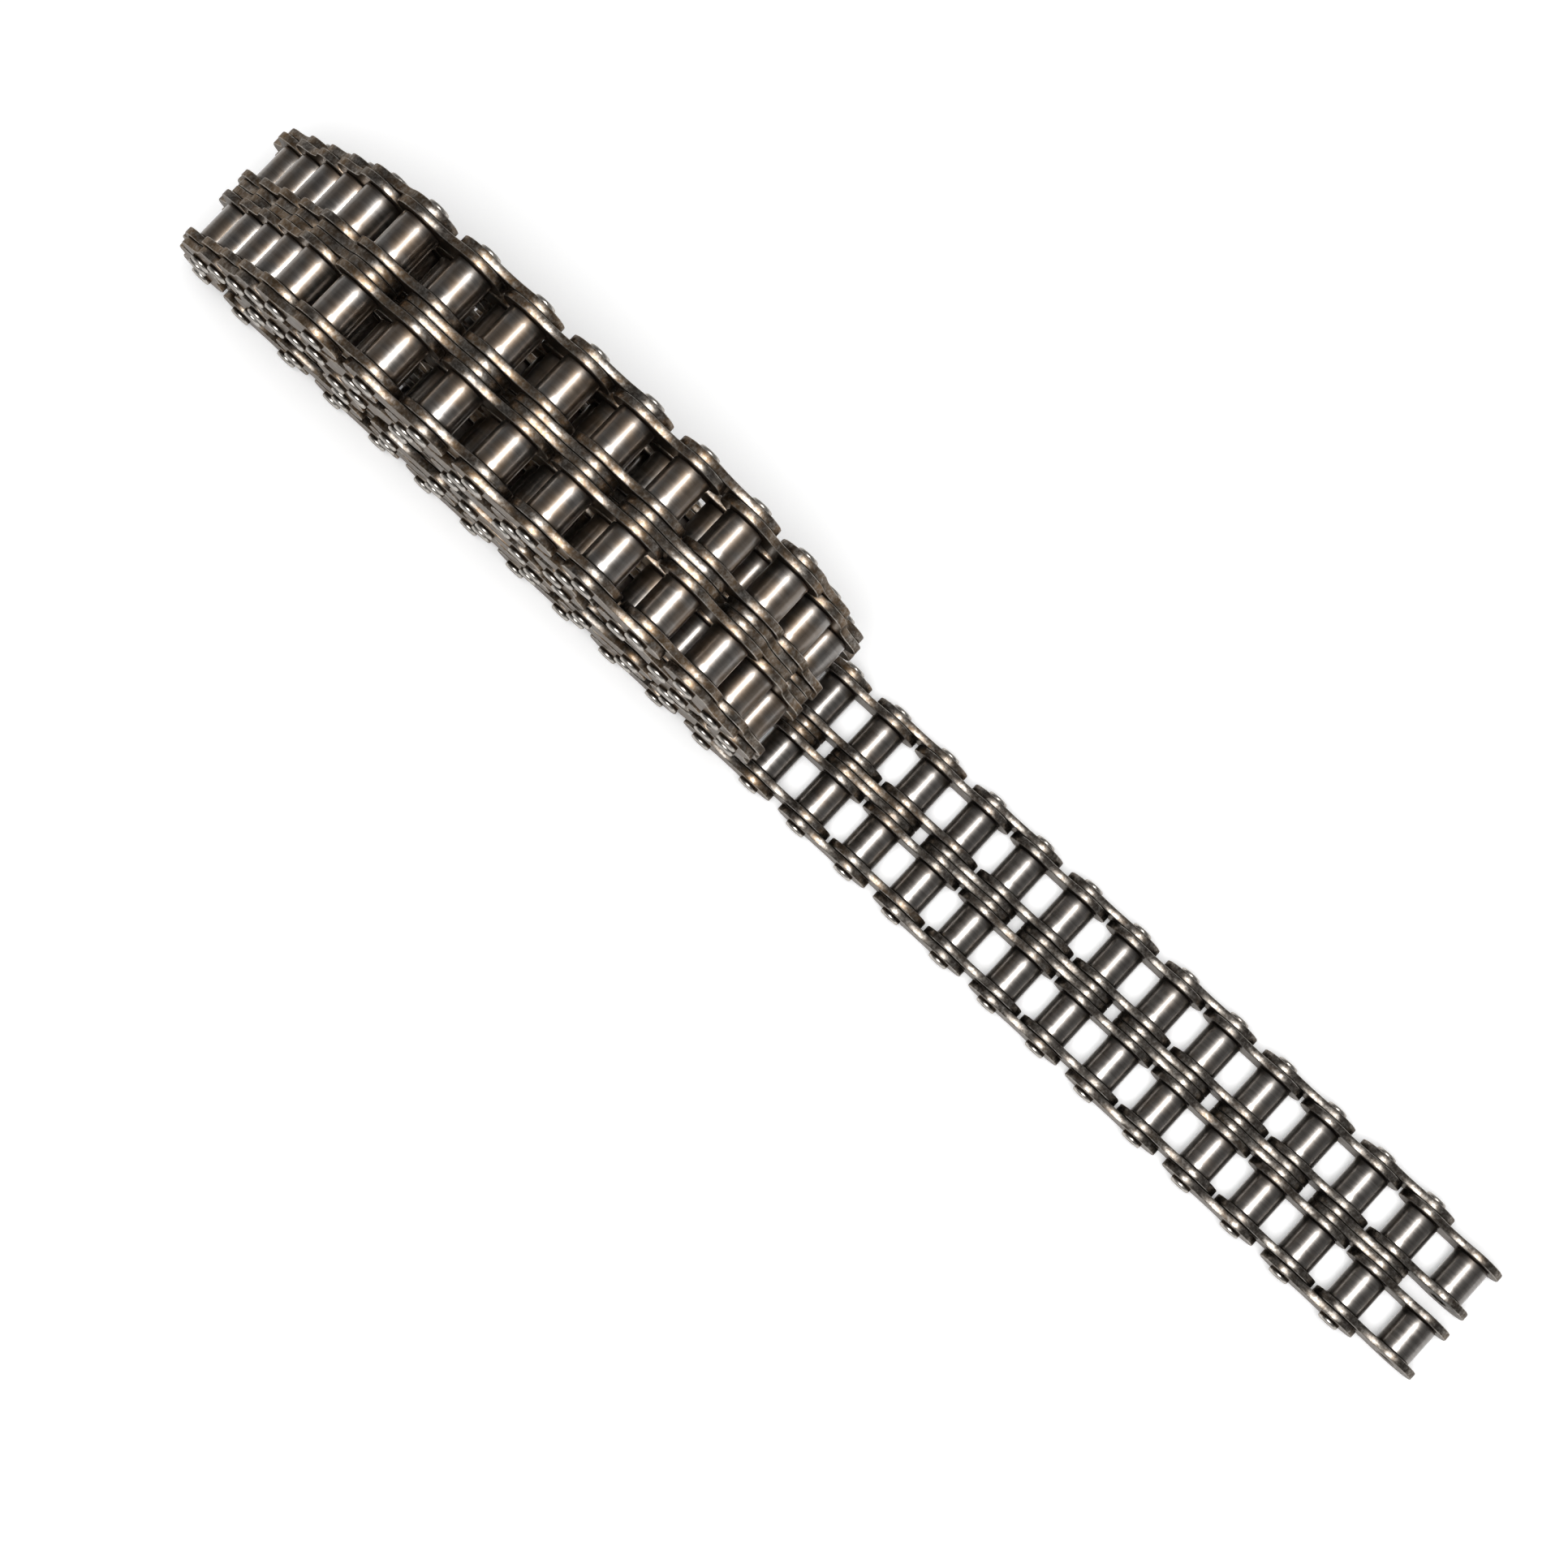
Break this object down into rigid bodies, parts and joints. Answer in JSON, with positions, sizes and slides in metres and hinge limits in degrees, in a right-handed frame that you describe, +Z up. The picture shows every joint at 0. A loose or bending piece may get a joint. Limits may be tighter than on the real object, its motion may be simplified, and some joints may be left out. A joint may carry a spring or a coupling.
{
  "type": "duplex roller chain",
  "caption": "Double-strand steel roller chain, its far end wound into a flattened coil on its rim and its near end lying straight, with hinged links and turning rollers.",
  "frame": {"origin": "bottom centre of the overall box, on the surface that the chain stands on", "axes": "+X along the straight tail towards its free end, Y along the pins across both strands, +Z up"},
  "size_m": [0.487, 0.0484, 0.1438],
  "materials": {
    "inner_plates": "satin",
    "outer_plates": "satin",
    "pins": "satin",
    "bushes": "satin",
    "rollers": "polished"
  },
  "bodies": {
    "coil": {"coil_outer_plates": "outer_plates", "coil_centre_plates": "outer_plates", "coil_pins": "pins", "coil_inner_plates": "inner_plates", "coil_bushes": "bushes", "coil_rollers": "rollers"},
    "tail_link_01": {"tail_link_01_inner_plates": "inner_plates", "tail_link_01_bushes": "bushes"},
    "tail_link_02": {"tail_link_02_outer_plates": "outer_plates", "tail_link_02_centre_plates": "outer_plates", "tail_link_02_pins": "pins"},
    "tail_link_03": {"tail_link_03_inner_plates": "inner_plates", "tail_link_03_bushes": "bushes"},
    "tail_link_04": {"tail_link_04_outer_plates": "outer_plates", "tail_link_04_centre_plates": "outer_plates", "tail_link_04_pins": "pins"},
    "tail_link_05": {"tail_link_05_inner_plates": "inner_plates", "tail_link_05_bushes": "bushes"},
    "tail_link_06": {"tail_link_06_outer_plates": "outer_plates", "tail_link_06_centre_plates": "outer_plates", "tail_link_06_pins": "pins"},
    "tail_link_07": {"tail_link_07_inner_plates": "inner_plates", "tail_link_07_bushes": "bushes"},
    "tail_link_08": {"tail_link_08_outer_plates": "outer_plates", "tail_link_08_centre_plates": "outer_plates", "tail_link_08_pins": "pins"},
    "tail_link_09": {"tail_link_09_inner_plates": "inner_plates", "tail_link_09_bushes": "bushes"},
    "tail_link_10": {"tail_link_10_outer_plates": "outer_plates", "tail_link_10_centre_plates": "outer_plates", "tail_link_10_pins": "pins"},
    "tail_link_11": {"tail_link_11_inner_plates": "inner_plates", "tail_link_11_bushes": "bushes"},
    "tail_link_12": {"tail_link_12_outer_plates": "outer_plates", "tail_link_12_centre_plates": "outer_plates", "tail_link_12_pins": "pins"},
    "tail_link_13": {"tail_link_13_inner_plates": "inner_plates", "tail_link_13_bushes": "bushes"},
    "tail_rollers_01": {"tail_rollers_01": "rollers"},
    "tail_rollers_02": {"tail_rollers_02": "rollers"},
    "tail_rollers_03": {"tail_rollers_03": "rollers"},
    "tail_rollers_04": {"tail_rollers_04": "rollers"},
    "tail_rollers_05": {"tail_rollers_05": "rollers"},
    "tail_rollers_06": {"tail_rollers_06": "rollers"},
    "tail_rollers_07": {"tail_rollers_07": "rollers"},
    "tail_rollers_08": {"tail_rollers_08": "rollers"},
    "tail_rollers_09": {"tail_rollers_09": "rollers"},
    "tail_rollers_10": {"tail_rollers_10": "rollers"},
    "tail_rollers_11": {"tail_rollers_11": "rollers"},
    "tail_rollers_12": {"tail_rollers_12": "rollers"},
    "tail_rollers_13": {"tail_rollers_13": "rollers"},
    "tail_rollers_14": {"tail_rollers_14": "rollers"}
  },
  "joints": [
    {"name": "link_pivot_01", "type": "hinge", "parent": "coil", "child": "tail_link_01", "pos_m": [-0.01321, 0, 0.00904], "axis": [0, -1, 0], "range_deg": [-90, 65]},
    {"name": "link_pivot_02", "type": "hinge", "parent": "tail_link_01", "child": "tail_link_02", "pos_m": [0.00583, 0, 0.00904], "axis": [0, 1, 0], "range_deg": [-80, 90]},
    {"name": "link_pivot_03", "type": "hinge", "parent": "tail_link_02", "child": "tail_link_03", "pos_m": [0.02489, 0, 0.00904], "axis": [0, -1, 0], "range_deg": [-90, 90]},
    {"name": "link_pivot_04", "type": "hinge", "parent": "tail_link_03", "child": "tail_link_04", "pos_m": [0.04394, 0, 0.00904], "axis": [0, 1, 0], "range_deg": [-90, 90]},
    {"name": "link_pivot_05", "type": "hinge", "parent": "tail_link_04", "child": "tail_link_05", "pos_m": [0.06298, 0, 0.00904], "axis": [0, -1, 0], "range_deg": [-90, 90]},
    {"name": "link_pivot_06", "type": "hinge", "parent": "tail_link_05", "child": "tail_link_06", "pos_m": [0.08203, 0, 0.00904], "axis": [0, 1, 0], "range_deg": [-90, 90]},
    {"name": "link_pivot_07", "type": "hinge", "parent": "tail_link_06", "child": "tail_link_07", "pos_m": [0.10108, 0, 0.00904], "axis": [0, -1, 0], "range_deg": [-90, 90]},
    {"name": "link_pivot_08", "type": "hinge", "parent": "tail_link_07", "child": "tail_link_08", "pos_m": [0.12014, 0, 0.00904], "axis": [0, 1, 0], "range_deg": [-90, 90]},
    {"name": "link_pivot_09", "type": "hinge", "parent": "tail_link_08", "child": "tail_link_09", "pos_m": [0.13919, 0, 0.00904], "axis": [0, -1, 0], "range_deg": [-90, 90]},
    {"name": "link_pivot_10", "type": "hinge", "parent": "tail_link_09", "child": "tail_link_10", "pos_m": [0.15823, 0, 0.00904], "axis": [0, 1, 0], "range_deg": [-90, 90]},
    {"name": "link_pivot_11", "type": "hinge", "parent": "tail_link_10", "child": "tail_link_11", "pos_m": [0.17728, 0, 0.00904], "axis": [0, -1, 0], "range_deg": [-90, 90]},
    {"name": "link_pivot_12", "type": "hinge", "parent": "tail_link_11", "child": "tail_link_12", "pos_m": [0.19634, 0, 0.00904], "axis": [0, 1, 0], "range_deg": [-90, 90]},
    {"name": "link_pivot_13", "type": "hinge", "parent": "tail_link_12", "child": "tail_link_13", "pos_m": [0.21538, 0, 0.00904], "axis": [0, -1, 0], "range_deg": [-90, 90]},
    {"name": "roller_spin_01", "type": "hinge", "parent": "tail_link_01", "child": "tail_rollers_01", "pos_m": [-0.01321, 0, 0.00904], "axis": [0, 1, 0], "continuous": true},
    {"name": "roller_spin_02", "type": "hinge", "parent": "tail_link_01", "child": "tail_rollers_02", "pos_m": [0.00583, 0, 0.00904], "axis": [0, 1, 0], "continuous": true},
    {"name": "roller_spin_03", "type": "hinge", "parent": "tail_link_03", "child": "tail_rollers_03", "pos_m": [0.02489, 0, 0.00904], "axis": [0, 1, 0], "continuous": true},
    {"name": "roller_spin_04", "type": "hinge", "parent": "tail_link_03", "child": "tail_rollers_04", "pos_m": [0.04394, 0, 0.00904], "axis": [0, 1, 0], "continuous": true},
    {"name": "roller_spin_05", "type": "hinge", "parent": "tail_link_05", "child": "tail_rollers_05", "pos_m": [0.06298, 0, 0.00904], "axis": [0, 1, 0], "continuous": true},
    {"name": "roller_spin_06", "type": "hinge", "parent": "tail_link_05", "child": "tail_rollers_06", "pos_m": [0.08203, 0, 0.00904], "axis": [0, 1, 0], "continuous": true},
    {"name": "roller_spin_07", "type": "hinge", "parent": "tail_link_07", "child": "tail_rollers_07", "pos_m": [0.10108, 0, 0.00904], "axis": [0, 1, 0], "continuous": true},
    {"name": "roller_spin_08", "type": "hinge", "parent": "tail_link_07", "child": "tail_rollers_08", "pos_m": [0.12014, 0, 0.00904], "axis": [0, 1, 0], "continuous": true},
    {"name": "roller_spin_09", "type": "hinge", "parent": "tail_link_09", "child": "tail_rollers_09", "pos_m": [0.13919, 0, 0.00904], "axis": [0, 1, 0], "continuous": true},
    {"name": "roller_spin_10", "type": "hinge", "parent": "tail_link_09", "child": "tail_rollers_10", "pos_m": [0.15823, 0, 0.00904], "axis": [0, 1, 0], "continuous": true},
    {"name": "roller_spin_11", "type": "hinge", "parent": "tail_link_11", "child": "tail_rollers_11", "pos_m": [0.17728, 0, 0.00904], "axis": [0, 1, 0], "continuous": true},
    {"name": "roller_spin_12", "type": "hinge", "parent": "tail_link_11", "child": "tail_rollers_12", "pos_m": [0.19634, 0, 0.00904], "axis": [0, 1, 0], "continuous": true},
    {"name": "roller_spin_13", "type": "hinge", "parent": "tail_link_13", "child": "tail_rollers_13", "pos_m": [0.21538, 0, 0.00904], "axis": [0, 1, 0], "continuous": true},
    {"name": "roller_spin_14", "type": "hinge", "parent": "tail_link_13", "child": "tail_rollers_14", "pos_m": [0.23444, 0, 0.00904], "axis": [0, 1, 0], "continuous": true}
  ]
}
